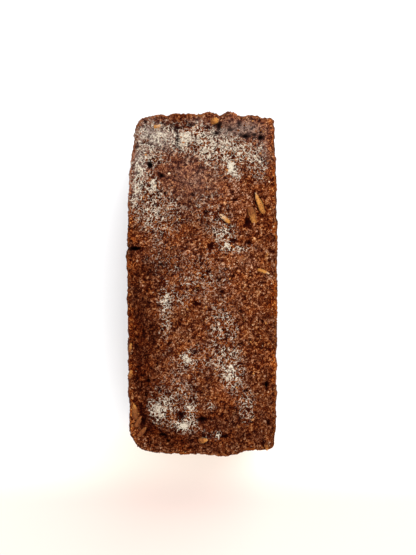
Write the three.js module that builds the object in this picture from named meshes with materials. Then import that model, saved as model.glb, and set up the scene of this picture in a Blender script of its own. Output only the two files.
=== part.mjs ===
// A dark rye tin loaf: one solid, as it comes out of its tin.
// Millimetres, +Z up. X runs across the loaf and Y along it. The loaf stands on Z = 0, and the origin is
// under its middle. Left is -X, right is +X, front is -Y and back is +Y.

import * as THREE from "three";
import { ImprovedNoise } from "three/addons/math/ImprovedNoise.js";
import { mergeVertices } from "three/addons/utils/BufferGeometryUtils.js";

// The loaf's outer size, lumps included. Width and length are at the brim, where the tin is widest.
const loafWidth = 80;
const loafLength = 180;
const loafHeight = 65;

// The walls and the base have the tin's shape.
const wallLean = 3.5; // how far each wall leans in between the brim and the base
const baseEdgeRadius = 4;
const cornerRadius = { frontLeft: 11, frontRight: 2.5, backLeft: 6, backRight: 2 }; // in plan

// How far the long sides draw in towards each corner, and how far the ends swell in their middle.
const cornerPinch = { frontLeft: 1.5, frontRight: 1.5, backLeft: 5.5, backRight: 1.4 };
const endBow = 1.6;

// Crumbs that broke off the front end, from the right corner inwards and from the brim down.
const chip = { across: 18, tall: 16, deep: 1, slope: 4 };

// The top is free dough, which rose a little, was smoothed by hand and then sank.
const shoulderRadius = 3; // between the walls and the top
const crownDrop = 3; // how much lower the top is at the long walls than along its middle
const endDrop = 1.5; // how much lower it is at the two ends
const leftSag = 2; // how much further the left side of the front half sank

// A long shallow dimple near the front left corner, where a bubble fell in. Its turn is in radians.
const dimple = { fromLeft: 13, fromFront: 14, across: 5, along: 13, depth: 2.2, turn: 0.35 };

// Lumps in the surface. The tin's walls press them nearly flat.
const lumpSize = 11;
const topLump = 0.9; // how far a lump stands out or in
const wallLump = 0.35;
const footHeight = 7; // lumps fade out over this height above the base, which stays flat

// The net of faces: how many cells run across, along and up the loaf, and how much they crowd at its edges.
const cells = { across: 20, along: 44, up: 14 };
const crowding = 1.25; // 1 is even

const crust = new THREE.MeshStandardMaterial({
  name: "rye_crust",
  color: 0x73432d,
  roughness: 0.85,
  metalness: 0,
});

const halfWidth = loafWidth / 2;
const halfLength = loafLength / 2;
const noise = new ImprovedNoise();
const { smoothstep } = THREE.MathUtils;

// Moves a point of -1 to 1 towards the nearer end, so that evenly spaced points crowd there.
function crowd(share) {
  return Math.sign(share) * (1 - Math.max(1 - Math.abs(share), 0) ** crowding);
}

// Rounds the edge where two faces meet. A point is given by its depths below the two faces.
function roundEdge(depthA, depthB, radius) {
  if (depthA >= radius || depthB >= radius) return [depthA, depthB];
  const a = radius - depthA;
  const b = radius - depthB;
  const shrink = Math.max(a, b) / Math.hypot(a, b);
  return [radius - a * shrink, radius - b * shrink];
}

// Rounds the edges of the base and of the top. All points at one depth behind the walls move as one ring.
function roundRims(p) {
  const depth = Math.min(halfWidth - Math.abs(p.x), halfLength - Math.abs(p.y));
  const low = p.z < loafHeight / 2;
  const radius = low ? baseEdgeRadius : shoulderRadius;
  if (depth >= radius) return;
  const level = low ? p.z : loafHeight - p.z;
  const [newDepth, newLevel] = roundEdge(depth, level, radius);
  p.x *= (halfWidth - newDepth) / (halfWidth - depth);
  p.y *= (halfLength - newDepth) / (halfLength - depth);
  p.z = low ? newLevel : loafHeight - newLevel;
}

// The name of the corner that a point is nearest to.
function nearestCorner(p) {
  return (p.y < 0 ? "front" : "back") + (p.x < 0 ? "Left" : "Right");
}

// Rounds the four upright corners, each with its own radius.
function roundCorners(p) {
  const depths = [halfWidth - Math.abs(p.x), halfLength - Math.abs(p.y)];
  const [depthX, depthY] = roundEdge(...depths, cornerRadius[nearestCorner(p)]);
  p.x = Math.sign(p.x) * (halfWidth - depthX);
  p.y = Math.sign(p.y) * (halfLength - depthY);
}

// Bends the walls in plan, and leans them in towards the base.
function shapeWalls(p) {
  const across = p.x / halfWidth;
  const along = p.y / halfLength;
  const lean = wallLean * (1 - p.z / loafHeight);
  const missing = p.y < 0 ? chipDepth(p) : 0;
  p.x *= 1 - (cornerPinch[nearestCorner(p)] * Math.abs(along) ** 3 + lean) / halfWidth;
  p.y *= 1 - (endBow * across ** 2 + lean + missing) / halfLength;
}

// How far the front end has crumbled back at a point.
function chipDepth(p) {
  const start = halfWidth - chip.across;
  const low = loafHeight - chip.tall;
  return chip.deep * smoothstep(p.x, start - chip.slope, start) * smoothstep(p.z, low, low + 2 * chip.slope);
}

// How far the top lies below its highest level at a place in plan.
function topDrop(x, y) {
  const across = x / halfWidth;
  const along = y / halfLength;
  const crown = crownDrop * Math.abs(across) ** 2.5 + endDrop * Math.abs(along) ** 4;
  const sag = leftSag * smoothstep(-across, 0.1, 1) * smoothstep(-along, -0.3, 0.3);
  return crown + sag + dimpleDepth(x, y);
}

// How deep the dimple is at a place in plan.
function dimpleDepth(x, y) {
  const dx = x - (dimple.fromLeft - halfWidth);
  const dy = y - (dimple.fromFront - halfLength);
  const across = (dx * Math.cos(dimple.turn) + dy * Math.sin(dimple.turn)) / dimple.across;
  const along = (dy * Math.cos(dimple.turn) - dx * Math.sin(dimple.turn)) / dimple.along;
  return dimple.depth * Math.exp(-(across ** 2) - along ** 2);
}

// How far the surface stands out at a point, in lumps.
function lump(p) {
  const share = smoothstep(p.z, loafHeight - 3 * shoulderRadius, loafHeight - shoulderRadius);
  const height = THREE.MathUtils.lerp(wallLump, topLump, share) * smoothstep(p.z, 0, footHeight);
  return height * noise.noise(p.x / lumpSize, p.y / lumpSize, p.z / lumpSize);
}

// Applies change(point, index) to every vertex.
function reshape(geometry, change) {
  const places = geometry.getAttribute("position");
  const p = new THREE.Vector3();
  for (let i = 0; i < places.count; i++) {
    p.fromBufferAttribute(places, i);
    change(p, i);
    places.setXYZ(i, p.x, p.y, p.z);
  }
}

// Scales the finished shape to the loaf's outer size, with the base's middle at the origin.
function fitToSize(geometry) {
  geometry.computeBoundingBox();
  const size = geometry.boundingBox.getSize(new THREE.Vector3());
  const middle = geometry.boundingBox.getCenter(new THREE.Vector3());
  geometry.translate(-middle.x, -middle.y, -geometry.boundingBox.min.z);
  geometry.scale(loafWidth / size.x, loafLength / size.y, loafHeight / size.z);
}

function makeLoaf() {
  const box = new THREE.BoxGeometry(2, 2, 2, cells.across, cells.along, cells.up);
  box.deleteAttribute("normal");
  box.deleteAttribute("uv");
  const loaf = mergeVertices(box);
  reshape(loaf, (p) => {
    p.set(crowd(p.x) * halfWidth, crowd(p.y) * halfLength, ((1 + crowd(p.z)) / 2) * loafHeight);
    roundRims(p);
    roundCorners(p);
    p.z *= 1 - topDrop(p.x, p.y) / loafHeight;
    shapeWalls(p);
  });
  loaf.computeVertexNormals();
  const outwards = loaf.getAttribute("normal").clone();
  const normal = new THREE.Vector3();
  reshape(loaf, (p, i) => p.addScaledVector(normal.fromBufferAttribute(outwards, i), lump(p)));
  fitToSize(loaf);
  return loaf;
}

const loaf = new THREE.Mesh(makeLoaf(), crust);
loaf.name = "tin_loaf";

const group = new THREE.Group();
group.add(loaf);

export default group;
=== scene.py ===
# %% [markdown]
# # A dark rye tin loaf
# Rye dough is poured into a tin like a thick batter, dusted with flour and baked. It comes out as one long
# brick: the walls have the tin's shape, and the top is coarse, dark and crumbly, with kernels showing in it.
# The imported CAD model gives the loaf's true shape and size. This script gives that shape its crust. Blender
# works in metres, so a millimetre is MM. +X is the loaf's right, +Y its back end, and it stands on Z = 0.

# %% Load the frame
import math
import bmesh
import bpy
import numpy as np
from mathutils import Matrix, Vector


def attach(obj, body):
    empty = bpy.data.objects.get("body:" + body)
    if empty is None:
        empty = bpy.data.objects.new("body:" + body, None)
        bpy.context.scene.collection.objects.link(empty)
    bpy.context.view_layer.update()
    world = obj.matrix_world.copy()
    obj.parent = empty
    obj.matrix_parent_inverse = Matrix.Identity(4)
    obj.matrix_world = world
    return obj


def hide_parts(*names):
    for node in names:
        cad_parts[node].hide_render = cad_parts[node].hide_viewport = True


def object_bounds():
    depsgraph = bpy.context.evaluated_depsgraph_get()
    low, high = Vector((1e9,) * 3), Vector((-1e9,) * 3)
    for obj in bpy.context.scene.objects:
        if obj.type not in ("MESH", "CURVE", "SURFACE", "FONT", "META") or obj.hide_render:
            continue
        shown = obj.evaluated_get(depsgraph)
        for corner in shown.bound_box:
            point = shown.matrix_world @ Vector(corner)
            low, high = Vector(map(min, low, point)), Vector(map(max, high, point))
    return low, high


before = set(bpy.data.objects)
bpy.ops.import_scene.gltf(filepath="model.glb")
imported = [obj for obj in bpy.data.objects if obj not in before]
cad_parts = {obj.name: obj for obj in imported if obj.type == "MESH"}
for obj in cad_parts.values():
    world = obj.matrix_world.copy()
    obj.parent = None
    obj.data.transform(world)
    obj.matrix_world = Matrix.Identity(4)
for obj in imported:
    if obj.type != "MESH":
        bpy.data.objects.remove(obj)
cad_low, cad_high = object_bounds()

MM = 0.001
print("CAD box in mm:", [round(v / MM, 1) for v in (*cad_low, *cad_high)])

# %% [markdown]
# ## Helpers for node trees
# A material and a Geometry Nodes tree are built in the same way: add a node, fill its inputs, link the result
# to the next. This small class does that in one call, so that a recipe reads like a formula. A value may be a
# number, a vector, a colour or the output of another node.

# %% Graph
WHITE = (1, 1, 1, 1)


class Graph:
    def __init__(self, tree):
        self.tree = tree

    def add(self, kind, inputs=None, out=0, **settings):
        node = self.tree.nodes.new(kind)
        for name, value in settings.items():
            setattr(node, name, value)
        for key, value in (inputs or {}).items():
            self.fill(node.inputs[key], value)
        return node.outputs[out] if len(node.outputs) else node

    def fill(self, socket, value):
        if isinstance(value, bpy.types.NodeSocket):
            self.tree.links.new(value, socket)
        else:
            socket.default_value = value

    def math(self, operation, *values):
        return self.add("ShaderNodeMath", dict(enumerate(values)), operation=operation)

    def total(self, first, *others):
        for other in others:
            first = self.math("ADD", first, other)
        return first

    def product(self, first, *others):
        for other in others:
            first = self.math("MULTIPLY", first, other)
        return first

    def less(self, value, amount):
        return self.math("SUBTRACT", value, amount)

    def vector(self, operation, *values):
        return self.add("ShaderNodeVectorMath", dict(enumerate(values)), operation=operation)

    def scaled(self, vector, factor):
        return self.add("ShaderNodeVectorMath", {0: vector, "Scale": factor}, operation="SCALE")

    def axis(self, vector, name):
        """One of a vector's three numbers: X, Y or Z."""
        return self.add("ShaderNodeSeparateXYZ", {0: vector}, name)

    def noise(self, place, size, detail=2.0, roughness=0.5, out=0):
        """Cloudy values around 0.5, with features of about this size in metres."""
        inputs = {"Vector": place, "Scale": 1 / size, "Detail": detail, "Roughness": roughness}
        return self.add("ShaderNodeTexNoise", inputs, out)

    def cells(self, place, size, out="Distance"):
        """Cells of about this size in metres: the distance to a cell's middle, or its random colour."""
        return self.add("ShaderNodeTexVoronoi", {"Vector": place, "Scale": 1 / size}, out)

    def fade(self, value, start, end, low=0.0, high=1.0):
        """Goes smoothly from low to high as the value goes from start to end."""
        inputs = {"Value": value, "From Min": start, "From Max": end, "To Min": low, "To Max": high}
        return self.add("ShaderNodeMapRange", inputs, interpolation_type="SMOOTHSTEP")

    def winding(self, place, size):
        """Short winding lines: 1 on a line, 0 between them."""
        drift = self.scaled(self.noise(place, 0.6 * size, 1, out="Color"), 0.4 * size)
        cloud = self.noise(self.vector("ADD", place, drift), size, 1)
        return self.fade(self.math("ABSOLUTE", self.less(cloud, 0.5)), 0.06, 0.0)

    def mix(self, share, a, b, blend="MIX"):
        inputs = {0: share, 6: a, 7: b}
        return self.add("ShaderNodeMix", inputs, 2, data_type="RGBA", blend_type=blend)

    def tinted(self, colour, share, shade):
        """The colour multiplied by a shade, as far as the share goes from 0 to 1."""
        return self.mix(1.0, colour, self.mix(share, WHITE, shade), "MULTIPLY")

    def dimmed(self, colour, level):
        """The colour multiplied by a plain level."""
        grey = self.add("ShaderNodeCombineColor", {0: level, 1: level, 2: level})
        return self.mix(1.0, colour, grey, "MULTIPLY")


# %% [markdown]
# ## A net of small faces
# The CAD solid has large faces, as collision and measuring need. The crust needs faces of little more than
# half a millimetre where you look most, on the top and round the brim, and larger ones lower down.
# Subdividing the CAD mesh would make long thin faces near its edges. Six even grids joined into a box give
# nearly square faces everywhere, and only the upper part is subdivided once more, to save triangles.

# %% Box of grids
CELL = 1.18 * MM  # the side of a face, before the upper part is subdivided
BRIM = 7 * MM  # how far down the walls the fine faces go


def box_net(low, high):
    bm = bmesh.new()
    size = high - low
    cells = [round(s / CELL) for s in size]
    for axis in range(3):
        u, v = (axis + 1) % 3, (axis + 2) % 3
        for side in (0, 1):
            grid = bmesh.ops.create_grid(bm, x_segments=cells[u], y_segments=cells[v], size=0.5)
            for vert in grid["verts"]:
                share = [side] * 3
                share[u], share[v] = vert.co.x + 0.5, vert.co.y + 0.5
                vert.co = [low[i] + size[i] * share[i] for i in range(3)]
    bmesh.ops.remove_doubles(bm, verts=bm.verts, dist=CELL / 10)
    bmesh.ops.recalc_face_normals(bm, faces=bm.faces)
    fine = [e for e in bm.edges if min(v.co.z for v in e.verts) > high.z - BRIM]
    bmesh.ops.subdivide_edges(bm, edges=fine, cuts=1, use_grid_fill=True)
    mesh = bpy.data.meshes.new("net")
    bm.to_mesh(mesh)
    bm.free()
    return mesh


net = box_net(cad_low, cad_high)
print("net:", len(net.vertices), "points,", sum(len(p.vertices) - 2 for p in net.polygons), "triangles")

# %% [markdown]
# ## What happened where
# Some things on a loaf have a place. Flour lay on the dough in patches. Gas left pits. The crust is darker in
# places, partly where it baked darker and partly as painted shade where the top slopes away from the light,
# and drier where it stood up. Flour dust left a grey film, a bluish grey sheen at the back right is a painted
# reflection, and lumps bulge from the edge.
# Weight Paint could put them there by hand. Here each is an attribute, a number per point of the net, added
# up from a few soft spots, so that a place can be moved by editing one line. A spot gives its middle, its
# reach across and along the loaf, all in millimetres, and its strength, which is negative where it takes
# away: a negative bulge is a notch.

# %% Spots of flour
FLOUR_SPOTS = [
    (-33, 82, 9, 9, 0.7),
    (-20, 77, 11, 9, 0.64),
    (-10, 78, 5, 6, 0.75),
    (-1, 79, 10, 7, 0.75),
    (4, 71, 7, 6, 0.3),
    (14, 69, 15, 8, 0.85),
    (31, 64, 6, 10, 0.42),
    (-34, 62, 6, 9, 0.85),
    (15.6, 60.5, 2, 3.6, 1.4),
    (17, 57, 2.8, 2.8, 1.2),
    (-27, 66, 8, 6, 0.35),
    (-25, 52.5, 2.6, 4, 1.0),
    (-36, 48, 4, 8, 0.95),
    (-26, 37, 11, 13, 0.6),
    (-16, 38, 8, 10, 0.15),
    (4, 42, 12, 14, 0.26),
    (12, 27, 6, 6, 0.6),
    (12.5, 21, 2.6, 3, 1.15),
    (22, 19, 6, 2.4, 0.5),
    (-26, 14, 8, 7, 0.15),
    (-2, 4, 20, 14, 0.3),
    (-19.5, -7.5, 3.2, 4, 1.05),
    (-11, -8, 4, 4, 0.3),
    (-19, -21, 3, 8, 0.6),
    (11, -22, 8, 11, 0.52),
    (-8, -38, 12, 9, 0.22),
    (-7.6, -38.7, 2.6, 3.4, 1.15),
    (6, -41, 9, 6, 0.32),
    (16, -44, 6, 9, 0.75),
    (14.5, -49, 3, 6, 0.65),
    (23, -64, 4.5, 8, 0.65),
    (-13, -60, 14, 13, 0.32),
    (-23, -66, 5, 6, 1.0),
    (-9, -74.5, 5.5, 3, 1.1),
    (-6, -67, 2.6, 4, 0.8),
    (5.5, -63.5, 1.8, 1.6, 1.4),
    (8, -79, 2, 2.4, 1.0),
    (2, -80, 3, 4, 0.35),
]

# %% Pits, dark crust with painted shade, and dry crust
PIT_SPOTS = [
    (-27.7, 63, 1.4, 1.6, 1.3),
    (-21.4, 57.3, 1.2, 1.2, 0.8),
    (-13, 76, 0.8, 4, 0.6),
    (9, 84.5, 1.1, 2.5, 0.6),
    (3, 83, 2, 0.9, 0.5),
    (15, 82, 1.6, 0.9, 0.5),
    (19.5, 86.5, 0.9, 2, 0.6),
    (-13, 83, 2, 1.2, 0.5),
    (-6, 84.5, 2, 1.2, 0.5),
    (28, 79.5, 1, 0.8, 0.5),
    (23, 78.4, 2.4, 1.2, 0.8),
    (32.5, 78, 2, 1.4, 0.8),
    (7.5, 80, 1.6, 1.2, 0.7),
    (24.9, 22, 1.6, 1, 0.6),
    (4.6, 20.1, 1.4, 1.8, 0.5),
    (23.8, 33, 1.6, 2.4, 0.6),
    (36, -53, 1.2, 1.6, 0.8),
    (-11, -68.2, 1.8, 1.4, 0.62),
    (0.5, -70.6, 2.4, 1.6, 0.58),
    (-20.7, -80.9, 1.8, 1.2, 0.55),
    (12, -80.3, 2, 0.8, 0.6),
    (-37.5, 19, 3.5, 0.75, 1.4),
]
# Partly crust that baked darker, partly painted shade where the top slopes away from the light, as on the
# long left strip.
DARK_AND_SHADE_SPOTS = [
    (-36, -22, 9, 42, 0.92),
    (-26, -34, 7, 20, 0.3),
    (-26, -76, 6, 9, 0.7),
    (-14, -84, 12, 6, 0.6),
    (-30, -62, 10, 16, 0.35),
    (0, -82, 26, 9, 0.5),
    (22, -74, 16, 12, 0.35),
    (36, -58, 6, 26, 0.3),
    (34, -20, 8, 22, 0.12),
    (-13, 86, 12, 3.5, 0.75),
    (11, 85, 8, 3, 0.7),
    (28, 80, 12, 4, 0.35),
    (-30, 10, 9, 16, 0.3),
    (2, -50, 9, 12, 0.2),
    (-14, 48, 12, 12, 0.15),
    (32, -32, 6, 8, 0.2),
    (-35, -46, 6, 9, 0.3),
    (6, -71, 9, 7, 0.5),
    (-14, -60, 20, 5, 0.2),
    (-19, -57, 7, 6, 0.35),
    (-19, 8, 7, 8, 0.42),
    (-33.4, 0.3, 2.6, 3.4, -0.35),
]
DRY_SPOTS = [
    (20, 43, 8, 12, 0.85),
    (31, 13, 8, 13, 0.75),
    (18, 4, 9, 11, 0.55),
    (16, 62, 9, 6, 0.4),
    (-33, 20, 6, 6, 0.8),
    (0, 82, 18, 5, 0.7),
    (4, 55, 8, 8, 0.3),
    (12, -44, 12, 5, 0.35),
    (-32, 72, 7, 12, 0.5),
    (-33, -84, 6, 4, 0.4),
    (-6.2, 16.8, 3.4, 2.6, 1.4),
    (-33.4, 0.3, 2.4, 3, 1.7),
    (-35.5, 15, 2.6, 3, 1.3),
    (-24.5, 12.5, 1.6, 2.6, 0.8),
    (8.6, -55.8, 3.4, 2.2, 1.3),
    (12.7, -1.5, 1.8, 2.4, 0.7),
    (7.2, -35.6, 2, 2, 0.7),
]

# %% Grey flour dust with a painted sheen, and bulges of the edge
# Grey flour dust on the back left and the middle, and a painted bluish grey sheen, a painted reflection, on
# the back right.
DUST_AND_SHEEN_SPOTS = [
    (22, 83, 13, 5.5, 0.8),
    (10, 80, 6, 5, 0.4),
    (34, 70, 5, 8, 0.3),
    (-3, 86, 4, 3, 0.5),
    (-6, 56, 15, 12, 0.25),
    (-31, 81, 9, 7, 1.2),
    (-20, 77, 8, 6, 0.9),
    (-35, 65, 5, 9, 1.1),
    (-37, 50, 3, 7, 0.8),
]
BULGE_SPOTS = [
    (4.6, 90, 3.0, 5, 2.6),
    (9.4, 90, 1, 4, -1.6),
    (15.2, 90, 3.8, 5, 1.7),
    (21.5, 90, 1.6, 4, -2.2),
    (27, 90, 2.4, 4, 1.0),
    (-12, 90, 3.5, 5, 1.4),
    (-2, 90, 3, 4, -1.0),
    (-26, 90, 5, 4, 0.4),
    (-33, 88, 4, 3, 0.5),
    (-37, 81, 3, 3, 0.6),
    (-38, 76.5, 3, 0.8, -1.6),
    (-40, 59, 3, 4, 0.7),
    (-40, 19, 5, 0.8, -2.4),
    (-40, 15, 4, 2.5, 0.5),
    (-40, -24, 4, 4, 1.0),
    (-40, -30.5, 4, 1.8, -1.0),
    (-40, -52, 3, 1.4, -1.5),
    (40, 34, 3, 2, 0.7),
    (40, 28, 3, 2, -0.5),
    (40, -30, 4, 20, 0.3),
    (-6.2, 16.8, 3, 2.4, 0.6),
    (-33.4, 0.3, 2, 2.6, 0.6),
    (-35.5, 15, 2.4, 3, 0.6),
    (8.6, -55.8, 3, 2, 0.6),
    (16, 59, 2.8, 4.6, 0.9),
    (-36.5, -80, 2, 1.8, 1.9),
    (-34, -82.8, 1.6, 1.6, -2.6),
    (-31, -85, 1.8, 1.8, 1.9),
    (-27.5, -87.5, 1.4, 2, -1.9),
    (12, -90, 8, 5, 1.2),
    (36, -86, 2, 1.5, 2.2),
    (40, -80, 3, 3, -1.5),
]

# %% Kernels on the top
# Each has its place, its heading in degrees, its length, its width as a share of the length, how pale it is,
# and how far it is lifted out of the crust. Lengths are in millimetres.
KERNELS = [
    (30.3, 42.6, 113, 12, 0.25, 0.55, 0.45),
    (26.6, 36, -74, 11.6, 0.34, 0.32, -0.2),
    (11.6, 35, 140, 9.4, 0.28, 0.8, 0.2),
    (6.7, 86, 20, 4.6, 0.8, 0.42, 0.1),
    (-23, 83.5, 20, 5, 0.42, 0.8, 0.0),
    (0.6, -81.8, 8, 5, 0.6, 0.36, 0.1),
    (34, -85, -80, 5.6, 0.4, 0.3, 0.1),
    (-31.5, -77.8, 50, 6.5, 0.4, 0.1, 0.1),
    (-35.4, -67, 97, 9, 0.34, 0.25, 0.1),
    (-37.6, -47, 74, 6, 0.4, 0.35, 0.1),
    (-37.8, -33.5, 80, 5, 0.4, 0.35, 0.1),
    (-33.5, -72.3, 62, 6.5, 0.4, 0.05, 0.1),
    (34, 15.6, 75, 3.6, 0.45, 0.4, -0.3),
    (32.2, 7, -22, 7, 0.3, 0.6, 0.0),
]

# %% Paint the spots on the net
PAINT_DEPTH = 9  # how far below the highest point the paint ends, in millimetres
PAINT_FADE = 8  # over how much height it fades out


def paint(mesh, name, spots):
    """Adds up soft spots. A sixth number turns a spot's reach to its own heading, in degrees."""
    places = np.empty(len(mesh.vertices) * 3)
    mesh.vertices.foreach_get("co", places)
    x, y, z = places.reshape(-1, 3).T / MM
    value = np.zeros(len(x))
    for middle_x, middle_y, across, along, strength, *heading in spots:
        turn = math.radians(heading[0]) if heading else 0
        u = (x - middle_x) * math.cos(turn) + (y - middle_y) * math.sin(turn)
        v = (y - middle_y) * math.cos(turn) - (x - middle_x) * math.sin(turn)
        value += strength * np.exp(-((u / across) ** 2) - (v / along) ** 2)
    value *= np.clip((z - cad_high.z / MM + PAINT_DEPTH) / PAINT_FADE, 0, 1)
    mesh.attributes.new(name, "FLOAT", "POINT").data.foreach_set("value", value.astype(np.float32))
    print("painted", name, "in", len(spots), "spots")


# A kernel lies in a nest, a hollow of about its own size, which is deep only where the kernel stands out.
nests = []
for x, y, turn, size, wide, pale, lift in KERNELS:
    depth = size / 12 if lift > 0 else size / 40
    nests.append((x, y, 0.56 * size, 0.7 * size * wide, depth, turn))

paint(net, "flour", FLOUR_SPOTS)
paint(net, "pit", PIT_SPOTS)
paint(net, "dark", DARK_AND_SHADE_SPOTS)
paint(net, "bulge", BULGE_SPOTS)
paint(net, "dust_and_sheen", DUST_AND_SHEEN_SPOTS)
paint(net, "dry", DRY_SPOTS)
paint(net, "nest", nests)

# %% [markdown]
# ## The solid to wrap
# The tin gave the loaf its walls, and the CAD node holds that shape. A copy of it is what the net is laid on.
# Its loose triangles are merged, paired into four-sided faces and smoothed by a Subdivision Surface, so that
# no flat CAD face shows through the crust. The node itself isn't touched.

# %% Smooth copy of the solid
def smooth_solid(node):
    bm = bmesh.new()
    bm.from_mesh(node.data)
    bmesh.ops.remove_doubles(bm, verts=bm.verts, dist=0.01 * MM)
    bmesh.ops.join_triangles(bm, faces=bm.faces, angle_face_threshold=0.8, angle_shape_threshold=1.5)
    mesh = bpy.data.meshes.new("solid")
    bm.to_mesh(mesh)
    bm.free()
    solid = bpy.data.objects.new("solid", mesh)
    bpy.context.scene.collection.objects.link(solid)
    levels = solid.modifiers.new("Smooth", "SUBSURF")
    levels.levels = levels.render_levels = 2
    return solid


solid = smooth_solid(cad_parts["tin_loaf"])
print("solid:", len(solid.data.polygons), "faces before smoothing")

# %% [markdown]
# ## Helpers for Geometry Nodes
# A Geometry Nodes tree takes a mesh, changes it and hands it on, and its named inputs are its dials. All the
# trees here are declared by the same few helpers. A tree can store a number on every point under a name, and
# later trees and the materials read it by that name.

# %% Tree helpers
def new_tree(name, inputs):
    """Returns the tree, a graph to add nodes with, and the sockets of its inputs."""
    tree = bpy.data.node_groups.new(name, "GeometryNodeTree")
    tree.interface.new_socket("Geometry", in_out="INPUT", socket_type="NodeSocketGeometry")
    for label, (kind, value) in inputs.items():
        socket = tree.interface.new_socket(label, in_out="INPUT", socket_type="NodeSocket" + kind)
        if value is not None:
            socket.default_value = value
    tree.interface.new_socket("Geometry", in_out="OUTPUT", socket_type="NodeSocketGeometry")
    entry = tree.nodes.new("NodeGroupInput")
    return tree, Graph(tree), entry.outputs


def store(graph, geometry, name, value, domain="POINT", kind="FLOAT"):
    inputs = {"Geometry": geometry, "Name": name, "Value": value}
    return graph.add("GeometryNodeStoreNamedAttribute", inputs, data_type=kind, domain=domain)


def named(graph, name, kind="FLOAT"):
    return graph.add("GeometryNodeInputNamedAttribute", {"Name": name}, data_type=kind)


def object_shape(graph, thing):
    return graph.add("GeometryNodeObjectInfo", {"Object": thing}, "Geometry", transform_space="RELATIVE")


def moved(graph, geometry, **change):
    return graph.add("GeometryNodeSetPosition", {"Geometry": geometry, **change})


def position(graph):
    return graph.add("GeometryNodeInputPosition")


def finish_tree(graph, geometry, material):
    realized = graph.add("GeometryNodeRealizeInstances", {"Geometry": geometry})
    result = graph.add("GeometryNodeSetMaterial", {"Geometry": realized, "Material": material})
    graph.add("NodeGroupOutput", {0: result})


# %% [markdown]
# ## Wrapping the net
# Dough takes the tin's shape by filling it. The net takes the solid's shape the other way round: each point
# looks inwards, towards the nearest place on a smaller box inside the loaf, and lands where its line meets
# the solid. A Shrinkwrap modifier to the nearest surface would leave few faces on the round edges.

# %% Wrap
RAY_START = 20 * MM  # how far outside the net a line starts
RAY_LENGTH = 80 * MM


def wrap(g, given):
    here = position(g)
    inset = given["Core Inset"]
    inner_low = g.vector("ADD", given["Low"], inset)
    inner_high = g.vector("SUBTRACT", given["High"], inset)
    core = g.vector("MINIMUM", g.vector("MAXIMUM", here, inner_low), inner_high)
    inwards = g.vector("NORMALIZE", g.vector("SUBTRACT", core, here))
    hit = g.add("GeometryNodeRaycast", {
        "Target Geometry": object_shape(g, given["Solid"]),
        "Source Position": g.vector("SUBTRACT", here, g.scaled(inwards, RAY_START)),
        "Ray Direction": inwards,
        "Ray Length": RAY_LENGTH,
    }, "Hit Position")
    return moved(g, given["Geometry"], Position=hit)


# %% [markdown]
# ## The crust's relief
# The crust could be sculpted by hand, but its lumps, grains and holes follow rules, so the tree makes them.
# Each point moves along the surface's normal by the sum of several reliefs. Grains are like coarse sand, with
# fine grit on them and short winding ridges between. Hollows are small holes by chance, the painted pits, and
# the nests of the kernels. The brim is torn into clumps and notches, most of all at the back end. A Displace
# modifier could do one of these, but a tree can add them up and give each its own place.

# %% Grains, grit and ridges
RIDGE_SIZE = 2 * MM  # between one winding ridge and the next


def grains(g, given, place, bent, share):
    """Rougher in some places than in others, and around zero."""
    grain = g.math("SUBTRACT", 0.45, g.cells(bent, 1.9 * MM))
    grit = g.less(g.noise(place, 1.1 * MM, 2, 0.7), 0.5)
    ridge = g.less(g.winding(place, RIDGE_SIZE), 0.3)
    parts = ((grain, "Grain"), (grit, "Grit"), (ridge, "Ridge"))
    rough = g.total(*(g.product(part, given[dial]) for part, dial in parts))
    return g.product(rough, share, g.fade(g.noise(place, 9 * MM, 2), 0.38, 0.62, 0.65, 1.25))


# %% Hollows
def hollows(g, given, bent, share):
    hole = g.fade(g.noise(bent, 4.2 * MM, 1.5), 0.66, 0.76)
    holes = g.product(g.product(hole, given["Hole"]), g.product(share, 0.7))
    pits = g.product(named(g, "pit"), given["Pit"])
    nests = g.product(named(g, "nest"), given["Nest"])
    return g.total(holes, g.total(pits, nests))


# %% Torn brim
def torn_brim(g, given, place, bent, up):
    ragged = g.less(g.noise(place, 3.4 * MM, 4, 0.7), 0.52)
    clump = g.less(g.axis(g.cells(bent, 5 * MM, "Color"), "X"), 0.5)
    back = g.fade(g.axis(place, "Y"), cad_high.y - 20 * MM, cad_high.y - 5 * MM, 0.85, 1.5)
    ragged = g.product(g.total(ragged, g.product(clump, 0.3)), back)
    near_top = g.fade(g.axis(place, "Z"), cad_high.z - 17 * MM, cad_high.z - BRIM)
    brim = g.product(g.fade(up, 0.98, 0.8), near_top)
    return g.product(g.product(ragged, given["Ragged"]), g.product(brim, 2.0))


# %% [markdown]
# ## The crust's tree
# The tree wraps the net and adds the reliefs up. It also stores what the finish needs: what is top and what
# is wall, where the rim is, how high each point stands, and where it was at rest, so that the flour can
# follow the same winding ridges. The base stays flat, because the loaf stands on it.

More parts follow.
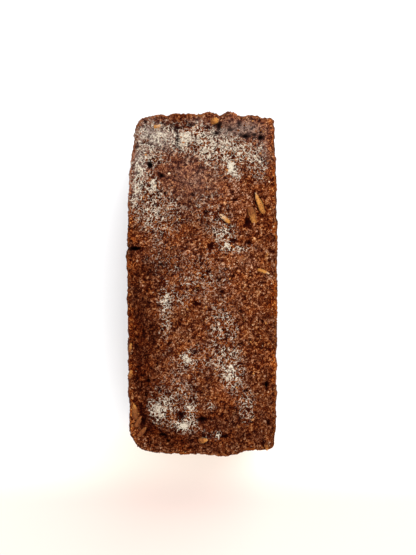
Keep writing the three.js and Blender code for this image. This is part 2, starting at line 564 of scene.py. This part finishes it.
# %% Tree that wraps and roughens the net
def crust_tree(material):
    tree, g, given = new_tree("rye crust", {
        "Solid": ("Object", None),
        "Low": ("Vector", None),
        "High": ("Vector", None),
        "Core Inset": ("Float", 14 * MM),
        "Lump": ("Float", 0.5 * MM),
        "Grain": ("Float", 0.95 * MM),
        "Grit": ("Float", 0.95 * MM),
        "Ridge": ("Float", 0.34 * MM),
        "Hole": ("Float", 1.8 * MM),
        "Pit": ("Float", 2.6 * MM),
        "Nest": ("Float", 1.2 * MM),
        "Ragged": ("Float", 1.6 * MM),
        "Foot": ("Float", 4 * MM),
        "Wall Share": ("Float", 0.4),
    })
    place = position(g)
    normal = g.add("GeometryNodeInputNormal")
    up = g.axis(normal, "Z")
    height = g.axis(place, "Z")
    top = g.fade(up, 0.35, 0.85)
    rim = g.product(g.fade(up, -0.05, 0.15), g.fade(height, cad_high.z - BRIM, cad_high.z - 4 * MM))
    share = g.fade(top, 0, 1, given["Wall Share"], 1.0)

    bent = g.vector("ADD", place, g.scaled(g.noise(place, 2.5 * MM, 2, out="Color"), 1.2 * MM))
    rough = grains(g, given, place, bent, share)
    hollow = hollows(g, given, bent, share)
    lump = g.less(g.noise(place, 9 * MM, 2), 0.5)
    broad = g.product(lump, given["Lump"], g.fade(top, 0, 1, 0.5, 2.0))
    torn = torn_brim(g, given, place, bent, up)
    bulge = g.product(named(g, "bulge"), g.fade(up, 0.6, 0.95, MM, 0.4 * MM))
    total = g.total(g.less(g.total(rough, broad), hollow), torn, bulge)
    total = g.product(total, g.fade(height, 0.0, given["Foot"]))

    loaf = store(g, store(g, wrap(g, given), "top", top), "rim", rim)
    loaf = store(g, loaf, "relief", g.math("DIVIDE", g.less(rough, hollow), MM))
    loaf = store(g, loaf, "rest", place, kind="FLOAT_VECTOR")
    loaf = moved(g, loaf, Offset=g.scaled(normal, total))
    finish_tree(g, g.add("GeometryNodeSetShadeSmooth", {"Geometry": loaf}), material)
    print("crust tree:", len(tree.nodes), "nodes")
    return tree


# %% [markdown]
# ## The crust's finish
# Dark rye crumb is reddish brown, matt and never one colour: each grain differs a little. Its colour is also
# painted darker in the hollows, nearly black, as painted shade, and paler on the ridges as painted light.
# Flour is cream white, and clings to the ridges inside its patches in short threads. The walls touched the
# tin, so they are more even, clouded light and dark, with a few pores painted dark as painted shade, and
# their upper edge has a painted orange glow of light here and there. A painted image would blur up close. One
# node material does all of it at any distance, guided by the attributes that the net carries.

# %% Material helpers
def new_material(name):
    material = bpy.data.materials.new(name)
    material.use_nodes = True
    material.node_tree.nodes.clear()
    return material, Graph(material.node_tree)


def shader(graph, colour, roughness, normal, specular):
    surface = graph.add("ShaderNodeBsdfPrincipled", {
        "Base Color": colour, "Roughness": roughness, "Normal": normal, "Specular IOR Level": specular,
    })
    graph.add("ShaderNodeOutputMaterial", {"Surface": surface})
    print("material with", len(graph.tree.nodes), "nodes")


def object_place(graph):
    return graph.add("ShaderNodeTexCoord", out="Object")


def attribute(graph, name, out="Fac"):
    return graph.add("ShaderNodeAttribute", out=out, attribute_name=name)


def bump(graph, height, distance, strength):
    return graph.add("ShaderNodeBump", {"Height": height, "Distance": distance, "Strength": strength})


def ramp(graph, value, shades):
    """A colour ramp through these shades."""
    colour = graph.add("ShaderNodeValToRGB", {0: value}, "Color")
    steps = colour.node.color_ramp.elements
    while len(steps) < len(shades):
        steps.new(0.5)
    for step, (spot, shade) in zip(steps, shades):
        step.position = spot
        step.color = (*shade, 1)
    return colour


# %% Crumb, from hollows in painted shade to ridges in painted light
# The low steps are painted shade in the hollows and the high ones painted light on the ridges, besides each
# grain's own random tone.
CRUMB_SHADES = [
    (0.0, (0.014, 0.0011, 0.0003)),
    (0.22, (0.042, 0.0052, 0.001)),
    (0.38, (0.088, 0.0155, 0.0033)),
    (0.54, (0.152, 0.037, 0.0094)),
    (0.68, (0.225, 0.069, 0.0225)),
    (0.82, (0.31, 0.122, 0.051)),
    (1.0, (0.50, 0.29, 0.155)),
]


def crumb_level(g, place, relief, ridge, grit):
    """A level for the ramp: it follows the relief, so hollows get painted shade and ridges painted light,
    with a random tone for each grain.
    """
    grain = g.add("ShaderNodeSeparateColor", {0: g.cells(place, 1.2 * MM, "Color")}, "Red")
    shape = g.total(0.425, g.product(relief, 0.68), g.product(ridge, 0.08))
    return g.total(shape, g.product(g.less(grit, 0.5), 3.0), g.product(g.less(grain, 0.5), 0.45))


# %% Walls and rim
WALL_SHADES = [
    (0.0, (0.010, 0.0012, 0.0004)),
    (0.3, (0.045, 0.0085, 0.002)),
    (0.5, (0.085, 0.021, 0.006)),
    (0.7, (0.13, 0.039, 0.012)),
    (1.0, (0.20, 0.072, 0.026)),
]
RIM_GLOW = (0.27, 0.075, 0.011, 1)


def wall_colour(g, place, level):
    cloudy = g.product(g.less(g.noise(place, 26 * MM, 4, 0.65), 0.5), 1.3)
    # Painted shade: the wall is darker in its hollows through the level, and its pores are drawn as dark
    # spots.
    even = g.total(0.5, g.product(g.less(level, 0.45), 0.36), cloudy)
    pore = g.fade(g.cells(g.vector("MULTIPLY", place, (1, 1, 1.6)), 3.4 * MM), 0.2, 0.08)
    wall = ramp(g, g.less(even, g.product(pore, 0.5)), WALL_SHADES)
    # Painted light: the rim's orange glow, broken into patches on the raised crumb.
    glow_patches = g.product(g.fade(g.noise(place, 3.5 * MM, 3, 0.6), 0.3, 0.54), g.fade(level, 0.0, 0.35))
    return g.mix(g.product(attribute(g, "rim"), glow_patches, 0.75), wall, RIM_GLOW)


# %% Broad areas
COOL = (0.93, 1.0, 1.22, 1)
WARM = (1.1, 0.98, 0.74, 1)
EDGE_GLOW = (1.4, 1.15, 0.6, 1)  # painted glow of light along the long edges of the top
DRY = (1.5, 1.8, 2.2, 1)
DUST_AND_SHEEN_GREY = (0.33, 0.265, 0.225, 1)
BURNT_AND_SHADE = (0.38, 0.22, 0.14, 1)
PIT_SHADE = (0.10, 0.07, 0.06, 1)


def darkened(g, colour):
    """Darker and redder in the dark spots, partly crust baked dark and partly painted shade where the top
    slopes from the light, and nearly black as painted shade in pits and round kernels.
    """
    shadow = g.total(attribute(g, "pit"), g.product(attribute(g, "nest"), 0.5))
    # The dark spots: crust baked darker, and painted shade where the top slopes from the light.
    colour = g.tinted(colour, attribute(g, "dark"), BURNT_AND_SHADE)
    # Painted shade: nearly black in the pits and round the kernels' nests, where shade falls in the hollows.
    return g.tinted(colour, g.fade(shadow, 0.25, 0.75), PIT_SHADE)


def broad_areas(g, place, colour, level, top):
    """Paler and darker by chance, warmer and cooler by chance, then what has its own place."""
    blotch = g.noise(place, 14 * MM, 3, 0.6)
    colour = g.dimmed(colour, g.fade(blotch, 0.3, 0.7, 0.85, 1.12))
    warm = g.fade(g.noise(place, 7 * MM, 3, 0.6), 0.35, 0.65)
    colour = g.mix(1.0, colour, g.mix(warm, COOL, WARM), "MULTIPLY")
    side = g.math("ABSOLUTE", g.axis(place, "X"))
    edge = g.fade(side, cad_high.x - 7 * MM, cad_high.x - 1.5 * MM)
    # Painted light: an orange glow along the long edges of the top.
    colour = g.tinted(colour, g.product(edge, g.fade(blotch, 0.36, 0.58), top), EDGE_GLOW)
    colour = g.tinted(colour, attribute(g, "dry"), DRY)
    # Grey flour dust, and a painted sheen of reflected light, strongest on the raised crumb.
    dust_and_sheen = g.product(attribute(g, "dust_and_sheen"), g.fade(level, 0.1, 0.65, 0.2, 1.0), 0.8)
    return darkened(g, g.mix(dust_and_sheen, colour, DUST_AND_SHEEN_GREY))


# %% Flour on the ridges
FLOUR_THIN = (0.265, 0.205, 0.16, 1)
FLOUR_THICK = (0.64, 0.56, 0.44, 1)


def floured(g, place, colour, relief, ridge):
    """Thick in the patches, and only on the ridges round them. Also returns the film of flour alone."""
    dust = g.less(g.noise(place, 0.8 * MM, 3, 0.7), 0.5)
    patchy = g.fade(g.noise(place, 5 * MM, 2), 0.32, 0.62, 0.55, 1.15)
    amount = g.product(attribute(g, "flour"), patchy)
    threads = g.product(g.less(ridge, 0.35), 0.9)
    cover = g.total(amount, threads, g.product(dust, 1.5), g.product(relief, 0.35))
    film = g.product(g.fade(cover, 0.52, 0.72), g.fade(amount, 0.05, 0.24))
    flour = g.mix(g.fade(cover, 0.62, 1.2), FLOUR_THIN, FLOUR_THICK)
    return g.mix(g.product(film, 0.95), colour, flour), film


# %% Rye crust material
def rye_crust():
    material, g = new_material("rye crust")
    place = object_place(g)
    relief = attribute(g, "relief")
    top = attribute(g, "top")
    ridge = g.winding(attribute(g, "rest", "Vector"), RIDGE_SIZE)
    grit = g.noise(place, 0.7 * MM, 3, 0.75)
    level = crumb_level(g, place, relief, ridge, grit)
    colour = g.mix(top, wall_colour(g, place, level), ramp(g, level, CRUMB_SHADES))
    colour = broad_areas(g, place, colour, level, top)
    colour, film = floured(g, place, colour, relief, ridge)
    fine = g.total(grit, g.product(g.noise(place, 0.35 * MM, 2), 0.5), g.product(film, 0.3))
    roughness = g.fade(grit, 0.3, 0.7, 0.95, 0.62)
    shader(g, colour, roughness, bump(g, fine, 0.35 * MM, 0.8), specular=0.02)
    return material


# %% [markdown]
# ## Make the crust
# A Geometry Nodes modifier stays live until it is applied. The finished loaf has to be plain mesh, because
# exporters and other tools can't run the tree. So the tree runs once, its result is copied to a new mesh, and
# the modifier goes. Its inputs are set by the sockets' identifiers, since names needn't be unique.

# %% Run the tree on the net
def add_object(name, data):
    thing = bpy.data.objects.new(name, data)
    bpy.context.scene.collection.objects.link(thing)
    return thing


def run_tree(name, start, tree, **sizes):
    """Runs a tree on a mesh once and returns the result as a plain mesh object."""
    thing = add_object(name, start)
    modifier = thing.modifiers.new(name, "NODES")
    sockets = {s.name: s.identifier for s in tree.interface.items_tree if s.in_out == "INPUT"}
    modifier.node_group = tree
    for label, value in sizes.items():
        modifier[sockets[label.replace("_", " ")]] = value
    ready = thing.evaluated_get(bpy.context.evaluated_depsgraph_get())
    mesh = bpy.data.meshes.new_from_object(ready)
    thing.modifiers.clear()
    thing.data = mesh
    mesh.name = name
    print(name, sum(len(p.vertices) - 2 for p in mesh.polygons), "triangles")
    return thing


crust = run_tree("loaf_crust", net, crust_tree(rye_crust()), Solid=solid, Low=cad_low, High=cad_high)
bpy.data.objects.remove(solid)
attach(crust, "root")
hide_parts("tin_loaf")

# %% [markdown]
# ## Loose crumbs and flour
# The top of a rye loaf sheds: it is covered with crumbs that hold on by one side. Placing thousands by hand
# is hopeless, and a particle system gives copies that are all alike. So Geometry Nodes scatters points on
# the crust, puts a small solid on each, turns and scales it at random, and pushes its corners about with
# noise. The solid has very few faces because it is repeated thousands of times. Flour is the same recipe,
# paler and only in its patches.

# %% Random numbers and wobbles
PER_SQUARE_MM = 1e6  # square millimetres in a square metre


def random_value(graph, low, high, seed, kind="FLOAT"):
    first, out = {"FLOAT": (2, 1), "FLOAT_VECTOR": (0, 0)}[kind]
    inputs = {first: low, first + 1: high, "Seed": seed}
    return graph.add("FunctionNodeRandomValue", inputs, out, data_type=kind)


def wobble(graph, size, detail):
    """A push in any direction that changes from place to place, half a unit at the most."""
    colour = graph.noise(position(graph), size, detail, out="Color")
    return graph.vector("SUBTRACT", colour, (0.5, 0.5, 0.5))


# %% Where crumbs lie
def crumb_density(g, given):
    """Many on ridges, few on the walls, none in pits or by the base, and flour only in its patches."""
    height = g.axis(position(g), "Z")
    on_top = g.fade(named(g, "top"), 0, 1, given["Wall Share"], 1.0)
    on_top = g.product(on_top, g.fade(height, 2 * MM, 6 * MM))
    cloud = g.fade(g.noise(position(g), 5 * MM, 2), 0.35, 0.6)
    floury = g.product(g.fade(named(g, "flour"), 0.08, 0.8), cloud)
    anywhere = g.math("SUBTRACT", 1.0, given["Flour Share"])
    wanted = g.total(g.product(floury, given["Flour Share"]), anywhere)
    no_pit = g.fade(g.total(named(g, "pit"), named(g, "nest")), 0.5, 0.15)
    ridge = g.fade(named(g, "relief"), -0.25, 0.25, 0.1, 1.0)
    share = g.product(g.product(on_top, wanted), g.product(no_pit, ridge))
    return g.product(share, g.product(given["Per Square mm"], PER_SQUARE_MM))


# %% Tree that scatters crumbs
def crumb_tree(name, solid, material):
    tree, g, given = new_tree(name, {
        "Per Square mm": ("Float", 0.3),
        "Wall Share": ("Float", 0.1),
        "Flour Share": ("Float", 0.0),
        "Smallest": ("Float", 0.4 * MM),
        "Largest": ("Float", 1.0 * MM),
        "Flatness": ("Float", 0.3),
        "Seed": ("Int", 1),
    })
    seed = given["Seed"]
    inputs = {"Mesh": given["Geometry"], "Density": crumb_density(g, given), "Seed": seed}
    points = g.add("GeometryNodeDistributePointsOnFaces", inputs, "Points")
    spin = random_value(g, (0, 0, 0), (0, 0, math.tau), seed, "FLOAT_VECTOR")
    inputs = {"Rotation": points.node.outputs["Rotation"], "Rotate By": spin}
    turn = g.add("FunctionNodeRotateRotation", inputs, rotation_space="LOCAL")

    # Small crumbs are more common than large ones, and most are longer than they are tall.
    size = g.math("POWER", random_value(g, 0.0, 1.0, g.total(seed, 1)), 1.6)
    size = g.fade(size, 0, 1, given["Smallest"], given["Largest"])
    shape = random_value(g, (0.7, 0.5, 0.5), (1.2, 0.9, 0.9), g.total(seed, 2), "FLOAT_VECTOR")
    thin = g.math("SUBTRACT", 1.0, given["Flatness"])
    shape = g.vector("MULTIPLY", shape, g.add("ShaderNodeCombineXYZ", {0: 1.0, 1: 1.0, 2: thin}))
    kind, settings = solid
    crumbs = g.add("GeometryNodeInstanceOnPoints", {
        "Points": points, "Instance": g.add(kind, settings, "Mesh"), "Rotation": turn,
        "Scale": g.scaled(shape, size),
    })
    crumbs = store(g, crumbs, "tint", random_value(g, 0.0, 1.0, g.total(seed, 3)), "INSTANCE")
    crumbs = g.add("GeometryNodeRealizeInstances", {"Geometry": crumbs})
    push = g.scaled(wobble(g, 0.8 * MM, 1), g.product(given["Largest"], 1.1))
    finish_tree(g, moved(g, crumbs, Offset=push), material)
    return tree


# %% [markdown]
# ## What crumbs and flour look like
# A crumb is one shade all over, but its neighbours differ: some are nearly black, a few are amber bran and a
# few are pale. A material can't tell copies apart once they are one mesh, so the tree stored a random tint on
# each, and a colour ramp turns it into a shade. Crumbs in a pit get the same painted shade as the crust
# there.

# %% Crumb and flour materials
def crumb_material(name, shades):
    material, g = new_material(name)
    grit = g.noise(object_place(g), 0.5 * MM, 2, 0.7)
    colour = g.dimmed(ramp(g, attribute(g, "tint"), shades), g.fade(grit, 0.3, 0.7, 0.6, 1.3))
    roughness = g.fade(grit, 0.3, 0.7, 0.9, 0.6)
    shader(g, darkened(g, colour), roughness, bump(g, grit, 0.2 * MM, 0.6), specular=0.03)
    return material


crumb_brown = crumb_material("crumb brown", [
    (0.0, (0.030, 0.0045, 0.001)),
    (0.4, (0.085, 0.018, 0.004)),
    (0.7, (0.155, 0.044, 0.014)),
    (0.86, (0.24, 0.088, 0.033)),
    (0.94, (0.44, 0.18, 0.045)),
    (1.0, (0.66, 0.48, 0.32)),
])
flour_white = crumb_material("flour white", [
    (0.0, (0.30, 0.23, 0.165)),
    (0.6, (0.54, 0.46, 0.35)),
    (1.0, (0.85, 0.78, 0.64)),
])

# %% [markdown]
# ## Scatter them
# Three kinds of loose stuff make the crust look rough from near and far: a few coarse crumbs, many fine
# splinters, and thin flakes of flour. Each set is one object, and has its own seed. A coarse crumb starts as
# a round lump of twenty faces. Splinters and flakes start as a three-sided cone, which is even cheaper.

# %% Scatter crumbs and flour
BALL = ("GeometryNodeMeshIcoSphere", {"Radius": 1.0, "Subdivisions": 1})
SPLINTER = ("GeometryNodeMeshCone", {"Vertices": 3, "Radius Bottom": 1.1, "Depth": 1.5})


def scatter(name, solid, material, ground=crust, **sizes):
    piece = run_tree(name, ground.data.copy(), crumb_tree(name, solid, material), **sizes)
    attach(piece, "root")


scatter("coarse_crumbs", BALL, crumb_brown, Per_Square_mm=0.16, Wall_Share=0.05,
        Smallest=0.35 * MM, Largest=0.8 * MM, Flatness=0.2, Seed=11)
scatter("fine_crumbs", SPLINTER, crumb_brown, Per_Square_mm=1.9, Wall_Share=0.06,
        Smallest=0.15 * MM, Largest=0.42 * MM, Flatness=0.1, Seed=23)
scatter("flour_flakes", SPLINTER, flour_white, Per_Square_mm=9.0, Wall_Share=0.01, Flour_Share=1.0,
        Smallest=0.1 * MM, Largest=0.34 * MM, Flatness=0.4, Seed=37)

# %% [markdown]
# ## Kernels
# Whole kernels are baked into the crust, golden where they show. Each is a drop, pointed at one end, with a
# crease along its back. One could be modelled by hand and copied, but a tree keeps the shape and the places
# together. It shapes one kernel from a sphere, then puts copies on two sets of points: those listed for the
# top, and a random set on the walls. Each kernel lies along the surface, half sunk in its nest.

# %% Points for the kernels on the top
def kernel_points():
    mesh = bpy.data.meshes.new("kernel points")
    above = cad_high.z + 5 * MM
    mesh.from_pydata([(x * MM, y * MM, above) for x, y, *_ in KERNELS], [], [])
    for column, name in enumerate(("heading", "length", "width", "pale", "lift"), start=2):
        values = [row[column] for row in KERNELS]
        mesh.attributes.new(name, "FLOAT", "POINT").data.foreach_set("value", values)
    print(len(KERNELS), "kernels placed on the top")
    return add_object("kernel_points", mesh)


# %% Shape of one kernel
def one_kernel(g):
    """A unit long on each side of its middle, along X, and pointed at the end towards +X."""
    ball = g.add("GeometryNodeMeshUVSphere", {"Segments": 20, "Rings": 14, "Radius": 1.0})
    place = position(g)
    length, width, height = g.axis(place, "Z"), g.axis(place, "X"), g.axis(place, "Y")
    taper = g.math("SUBTRACT", 1.0, g.product(length, 0.42))
    crease = g.product(g.fade(g.math("ABSOLUTE", width), 0.45, 0.0), -0.12)
    tall = g.total(g.product(height, taper), crease)
    shaped = g.add("ShaderNodeCombineXYZ", {0: length, 1: g.product(width, taper), 2: tall})
    kernel = moved(g, ball, Position=shaped)
    kernel = store(g, kernel, "along", g.axis(place, "X"))
    return store(g, kernel, "across", g.axis(place, "Y"))


# %% Points on the top and on the walls
def top_points(g, given):
    """The placed points, dropped straight down onto the crust."""
    fall = g.add("GeometryNodeRaycast", {
        "Target Geometry": given["Geometry"], "Ray Direction": (0, 0, -1), "Ray Length": 50 * MM,
    }, "Hit Position")
    points = g.add("GeometryNodeMeshToPoints", {"Mesh": object_shape(g, given["Placed"])})
    points = store(g, points, "facing", (0, 0, 1), kind="FLOAT_VECTOR")
    lift = g.add("ShaderNodeCombineXYZ", {2: g.product(named(g, "lift"), MM)})
    return moved(g, points, Position=fall, Offset=lift)


def wall_points(g, given):
    """Random points on the walls, away from the brim and the base, each with its own shape."""
    seed = given["Seed"]
    height = g.axis(position(g), "Z")
    low_wall = g.fade(height, cad_high.z - 9 * MM, cad_high.z - 15 * MM)
    wall = g.product(g.math("SUBTRACT", 1.0, named(g, "top")), low_wall, g.fade(height, 4 * MM, 8 * MM))
    density = g.product(wall, g.product(given["Walls Per Square mm"], PER_SQUARE_MM))
    inputs = {"Mesh": given["Geometry"], "Density": density, "Seed": seed}
    points = g.add("GeometryNodeDistributePointsOnFaces", inputs, "Points")
    points = store(g, points, "facing", points.node.outputs["Normal"], kind="FLOAT_VECTOR")
    ranges = {"heading": (0.0, 360.0), "length": (4.5, 9.5), "pale": (0.1, 0.6), "width": (0.27, 0.42)}
    for step, (name, (low, high)) in enumerate(ranges.items()):
        points = store(g, points, name, random_value(g, low, high, g.total(seed, step)))
    sunk = g.scaled(named(g, "facing", "FLOAT_VECTOR"), -0.55 * MM)
    return moved(g, points, Offset=sunk)


# %% Tree that places kernels
def kernel_tree(material):
    tree, g, given = new_tree("kernels", {
        "Placed": ("Object", None),
        "Walls Per Square mm": ("Float", 0.0022),
        "Seed": ("Int", 5),
    })
    both = g.tree.nodes.new("GeometryNodeJoinGeometry")
    g.fill(both.inputs[0], top_points(g, given))
    g.fill(both.inputs[0], wall_points(g, given))
    turn = g.add("ShaderNodeCombineXYZ", {2: g.math("RADIANS", named(g, "heading"))})
    facing = named(g, "facing", "FLOAT_VECTOR")
    inputs = {"Rotation": turn, "Factor": 1.0, "Vector": facing}
    turn = g.add("FunctionNodeAlignRotationToVector", inputs, axis="Z")
    half = g.product(named(g, "length"), 0.5 * MM)
    side = g.product(half, named(g, "width"))
    kernels = g.add("GeometryNodeInstanceOnPoints", {
        "Points": both.outputs[0], "Instance": one_kernel(g), "Rotation": turn,
        "Scale": g.add("ShaderNodeCombineXYZ", {0: half, 1: side, 2: g.product(side, 0.7)}),
    })
    kernels = g.add("GeometryNodeRealizeInstances", {"Geometry": kernels})
    kernels = moved(g, kernels, Offset=g.scaled(wobble(g, 1.6 * MM, 2), 1.2 * MM))
    finish_tree(g, g.add("GeometryNodeSetShadeSmooth", {"Geometry": kernels}), material)
    print("kernel tree:", len(tree.nodes), "nodes")
    return tree


# %% [markdown]
# ## What a kernel looks like
# A hulled kernel is golden with fine streaks along it, paler towards its pointed end, and patches of brown
# bran cling to it. Its sides are darkened as painted shade, where it curves down into the crust. The streaks
# follow the kernel and not the loaf, so the tree stored where each point lies on its own kernel, along and
# across. It shines a little more than the crumb does.

# %% Kernel material
BRAN = ((0.09, 0.020, 0.004, 1), (0.23, 0.066, 0.012, 1))
GOLD = ((0.33, 0.105, 0.014, 1), (0.56, 0.26, 0.055, 1))
PALE = ((0.33, 0.20, 0.12, 1), (0.62, 0.49, 0.34, 1))
SPECK = (0.09, 0.022, 0.006, 1)


def kernel_gold():
    material, g = new_material("kernel gold")
    along = attribute(g, "along")
    across = attribute(g, "across")
    stretched = g.add("ShaderNodeCombineXYZ", {0: g.product(along, 0.3), 1: across})
    streak = g.noise(stretched, 0.2, 2)
    patch = g.noise(object_place(g), 1.3 * MM, 3, 0.65)
    bran, gold, floury = (g.mix(g.fade(streak, 0.35, 0.65), *shades) for shades in (BRAN, GOLD, PALE))
    pale = g.total(attribute(g, "pale"), g.product(along, 0.25), g.product(g.less(patch, 0.5), 1.2))
    colour = g.mix(g.fade(pale, 0.15, 0.6), bran, gold)
    colour = g.mix(g.fade(pale, 0.65, 0.95), colour, floury)
    colour = g.mix(g.fade(patch, 0.56, 0.64), colour, SPECK)
    # Painted shade: darker towards the kernel's sides, where it curves down into the crust.
    colour = g.dimmed(colour, g.fade(g.math("ABSOLUTE", across), 0.5, 1.0, 1.0, 0.4))
    normal = bump(g, g.total(streak, patch), 0.25 * MM, 0.6)
    shader(g, colour, g.fade(patch, 0.3, 0.7, 0.42, 0.7), normal, specular=0.12)
    return material


# %% [markdown]
# ## Set the kernels in
# The points were placed in plan only, so the tree drops them onto the finished crust. Dough sticks to a
# kernel as it bakes in, so fine crumbs are scattered over the kernels too.

# %% Place the kernels
kernel_spots = kernel_points()
kernels = run_tree("kernels", crust.data.copy(), kernel_tree(kernel_gold()), Placed=kernel_spots)
bpy.data.objects.remove(kernel_spots)
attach(kernels, "root")
scatter("kernel_crumbs", SPLINTER, crumb_brown, ground=kernels, Per_Square_mm=1.2, Wall_Share=1.0,
        Smallest=0.15 * MM, Largest=0.45 * MM, Flatness=0.1, Seed=51)

# %% [markdown]
# ## A plain floor
# A plain pale floor keeps the eye on the crust. Warm light bounces on it in front of the loaf, and it stays
# cooler on the shaded left, so its own colour shifts gently from place to place. It isn't part of the loaf.

# %% Floor
FLOOR_HALF = 6  # metres from its middle to its edge
BOUNCE_NEAR = (0.98, 0.87, 0.77, 1)
BOUNCE_FAR = (0.74, 0.61, 0.555, 1)
SHADED = (0.93, 0.94, 0.95, 1)


def pale_floor():
    material, g = new_material("pale floor")
    place = object_place(g)
    x, y = g.axis(place, "X"), g.axis(place, "Y")
    left, front = cad_low.x, cad_low.y
    pale = g.mix(g.noise(place, 0.05, 2), (0.86, 0.86, 0.86, 1), (0.9, 0.9, 0.9, 1))
    bounce = g.mix(g.fade(y, front - 5 * MM, front - 40 * MM), BOUNCE_NEAR, BOUNCE_FAR)
    in_front = g.product(g.fade(y, front + 20 * MM, front - 10 * MM), g.fade(y, -0.8, -0.2))
    shade = g.product(g.fade(x, left + 20 * MM, left), g.fade(y, front - 10 * MM, front + 30 * MM))
    shader(g, g.mix(shade, g.mix(in_front, pale, bounce), SHADED), 0.8, (0, 0, 0), specular=0.1)
    return material


corners = [(x * FLOOR_HALF, y * FLOOR_HALF, 0) for x, y in ((-1, -1), (1, -1), (1, 1), (-1, 1))]
floor = add_object("floor", bpy.data.meshes.new("floor"))
floor.data.from_pydata(corners, [], [(0, 1, 2, 3)])
floor.data.materials.append(pale_floor())

# %% [markdown]
# ## Soft light
# A relief shows only when light rakes over it. A white room lights the loaf from everywhere, a large cool
# window at the back right gives the grains their small shadows, and a weak warm light fills from the front.
# One small lamp would be stronger, but it would throw hard black shadows.

# %% Light
ROOM = 1.35  # how brightly the white room shines
AIM = Vector((0, 0, 0.05))


def area_light(name, place, size, watts, colour):
    lamp = bpy.data.lights.new(name, "AREA")
    lamp.size = size
    lamp.energy = watts
    lamp.color = colour
    thing = add_object(name, lamp)
    thing.location = place
    thing.rotation_euler = (AIM - Vector(place)).to_track_quat("-Z", "Y").to_euler()
    print(name, "at", place, "with", watts, "W")


world = bpy.data.worlds.new("soft white room")
world.use_nodes = True
background = world.node_tree.nodes["Background"]
background.inputs["Color"].default_value = WHITE
background.inputs["Strength"].default_value = ROOM
bpy.context.scene.world = world
area_light("window", (0.5, 0.85, 0.9), 1.1, 13, (0.93, 0.97, 1.0))
area_light("warm fill", (0.1, -1.1, 0.6), 0.8, 2, (1.0, 0.85, 0.7))
bpy.context.scene.view_settings.view_transform = "Standard"

# %% [markdown]
# ## Camera
# The camera looks straight down from half a metre above the top, as a cook would look at a loaf on a table.
# A longish lens keeps the walls from showing much.

# %% Camera
CAMERA_HEIGHT = 550 * MM  # above the top
CAMERA_OFF_CENTRE = (3.2 * MM, 3.7 * MM)

lens = bpy.data.cameras.new("camera")
lens.sensor_width = 36
lens.lens = 68.2
camera = add_object("camera", lens)
camera.location = (*CAMERA_OFF_CENTRE, cad_high.z + CAMERA_HEIGHT)
bpy.context.scene.camera = camera
print("camera at", [round(v, 3) for v in camera.location], "m")
